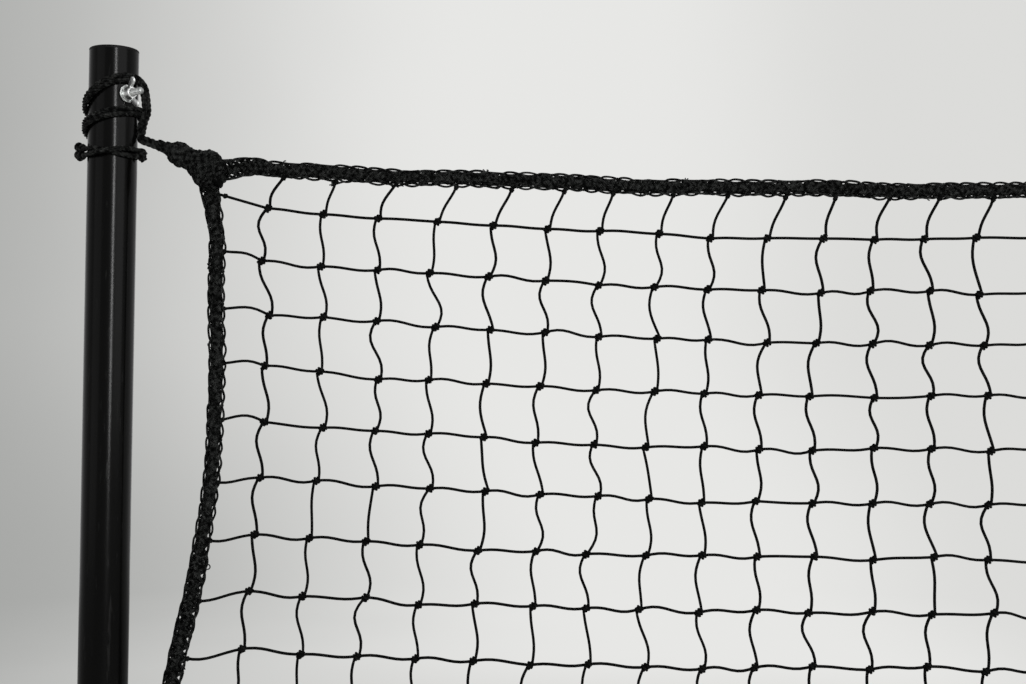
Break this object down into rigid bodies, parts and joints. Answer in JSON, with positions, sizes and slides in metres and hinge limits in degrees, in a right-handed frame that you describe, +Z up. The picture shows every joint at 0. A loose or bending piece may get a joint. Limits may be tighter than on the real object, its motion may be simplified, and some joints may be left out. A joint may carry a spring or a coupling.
{
  "type": "pitching target net",
  "caption": "Free-standing black pitching net: knotted mesh with a rope border lashed between two tube uprights, with a webbing strike zone.",
  "frame": {"origin": "on the ground, midway between the uprights, under the middle of the foot tubes", "axes": "+X to the right as the pitcher sees it, along the net; +Y away from the pitcher; +Z up along the uprights"},
  "size_m": [1.471, 0.77, 1.5239],
  "materials": {
    "black_tube": "black powder coat, satin",
    "cap_rubber": "moulded, matt",
    "plug_plastic": "moulded, satin",
    "zinc_steel": "zinc plated",
    "wing_steel": "bright zinc plated",
    "twine": "braided polyethylene twine",
    "border_rope": "knitted cover over a rope core",
    "lashing_cord": "laid three-strand cord",
    "zone_webbing": "flat woven webbing"
  },
  "bodies": {
    "frame_and_net": {"foot_left": "black_tube", "foot_right": "black_tube", "foot_cap_left_front": "cap_rubber", "foot_cap_left_back": "cap_rubber", "foot_cap_right_front": "cap_rubber", "foot_cap_right_back": "cap_rubber", "base_rail": "black_tube", "pole_left": "black_tube", "pole_right": "black_tube", "pole_plug_left": "plug_plastic", "pole_plug_right": "plug_plastic", "bolt_top_left": "zinc_steel", "bolt_top_right": "zinc_steel", "bolt_bottom_left": "zinc_steel", "bolt_bottom_right": "zinc_steel", "bolt_rail_left": "zinc_steel", "bolt_rail_right": "zinc_steel", "head_washers": "zinc_steel", "net_mesh": "twine", "border_top": "border_rope", "border_bottom": "border_rope", "border_left": "border_rope", "border_right": "border_rope", "corner_knot_top_left": "border_rope", "corner_knot_top_right": "border_rope", "corner_knot_bottom_left": "border_rope", "corner_knot_bottom_right": "border_rope", "lashing_top_left": "lashing_cord", "lashing_top_right": "lashing_cord", "lashing_bottom_left": "lashing_cord", "lashing_bottom_right": "lashing_cord", "side_tie_left": "lashing_cord", "side_tie_right": "lashing_cord", "zone_strap_top": "zone_webbing", "zone_strap_bottom": "zone_webbing", "zone_strap_left": "zone_webbing", "zone_strap_right": "zone_webbing"},
    "washer_top_left": {"washer_top_left": "zinc_steel"},
    "wing_nut_top_left": {"wing_nut_top_left": "wing_steel"},
    "washer_top_right": {"washer_top_right": "zinc_steel"},
    "wing_nut_top_right": {"wing_nut_top_right": "wing_steel"},
    "washer_bottom_left": {"washer_bottom_left": "zinc_steel"},
    "wing_nut_bottom_left": {"wing_nut_bottom_left": "wing_steel"},
    "washer_bottom_right": {"washer_bottom_right": "zinc_steel"},
    "wing_nut_bottom_right": {"wing_nut_bottom_right": "wing_steel"},
    "washer_rail_left": {"washer_rail_left": "zinc_steel"},
    "wing_nut_rail_left": {"wing_nut_rail_left": "wing_steel"},
    "washer_rail_right": {"washer_rail_right": "zinc_steel"},
    "wing_nut_rail_right": {"wing_nut_rail_right": "wing_steel"}
  },
  "joints": [
    {"name": "washer_top_left_travel", "type": "slide", "parent": "frame_and_net", "child": "washer_top_left", "axis": [0.7431, -0.6691, 0], "range_m": [0, 0.00762]},
    {"name": "wing_nut_top_left_turn", "type": "hinge", "parent": "washer_top_left", "child": "wing_nut_top_left", "pos_m": [-0.7, 0, 1.48045], "axis": [0.7431, -0.6691, 0], "range_deg": [0, 2160]},
    {"name": "washer_top_right_travel", "type": "slide", "parent": "frame_and_net", "child": "washer_top_right", "axis": [-0.7431, -0.6691, 0], "range_m": [0, 0.00762]},
    {"name": "wing_nut_top_right_turn", "type": "hinge", "parent": "washer_top_right", "child": "wing_nut_top_right", "pos_m": [0.7, 0, 1.48045], "axis": [-0.7431, -0.6691, 0], "range_deg": [0, 2160]},
    {"name": "washer_bottom_left_travel", "type": "slide", "parent": "frame_and_net", "child": "washer_bottom_left", "axis": [0.7431, -0.6691, 0], "range_m": [0, 0.00762]},
    {"name": "wing_nut_bottom_left_turn", "type": "hinge", "parent": "washer_bottom_left", "child": "wing_nut_bottom_left", "pos_m": [-0.7, 0, 0.19665], "axis": [0.7431, -0.6691, 0], "range_deg": [0, 2160]},
    {"name": "washer_bottom_right_travel", "type": "slide", "parent": "frame_and_net", "child": "washer_bottom_right", "axis": [-0.7431, -0.6691, 0], "range_m": [0, 0.00762]},
    {"name": "wing_nut_bottom_right_turn", "type": "hinge", "parent": "washer_bottom_right", "child": "wing_nut_bottom_right", "pos_m": [0.7, 0, 0.19665], "axis": [-0.7431, -0.6691, 0], "range_deg": [0, 2160]},
    {"name": "washer_rail_left_travel", "type": "slide", "parent": "frame_and_net", "child": "washer_rail_left", "axis": [0, -1, 0], "range_m": [0, 0.00762]},
    {"name": "wing_nut_rail_left_turn", "type": "hinge", "parent": "washer_rail_left", "child": "wing_nut_rail_left", "pos_m": [-0.62377, 0, 0.02923], "axis": [0, -1, 0], "range_deg": [0, 2160]},
    {"name": "washer_rail_right_travel", "type": "slide", "parent": "frame_and_net", "child": "washer_rail_right", "axis": [0, -1, 0], "range_m": [0, 0.00762]},
    {"name": "wing_nut_rail_right_turn", "type": "hinge", "parent": "washer_rail_right", "child": "wing_nut_rail_right", "pos_m": [0.62377, 0, 0.02923], "axis": [0, -1, 0], "range_deg": [0, 2160]}
  ],
  "couplings": [
    {"joint": "washer_top_left_travel", "follows": "wing_nut_top_left_turn", "m_per_rad": 0.000202},
    {"joint": "washer_top_right_travel", "follows": "wing_nut_top_right_turn", "m_per_rad": 0.000202},
    {"joint": "washer_bottom_left_travel", "follows": "wing_nut_bottom_left_turn", "m_per_rad": 0.000202},
    {"joint": "washer_bottom_right_travel", "follows": "wing_nut_bottom_right_turn", "m_per_rad": 0.000202},
    {"joint": "washer_rail_left_travel", "follows": "wing_nut_rail_left_turn", "m_per_rad": 0.000202},
    {"joint": "washer_rail_right_travel", "follows": "wing_nut_rail_right_turn", "m_per_rad": 0.000202}
  ]
}
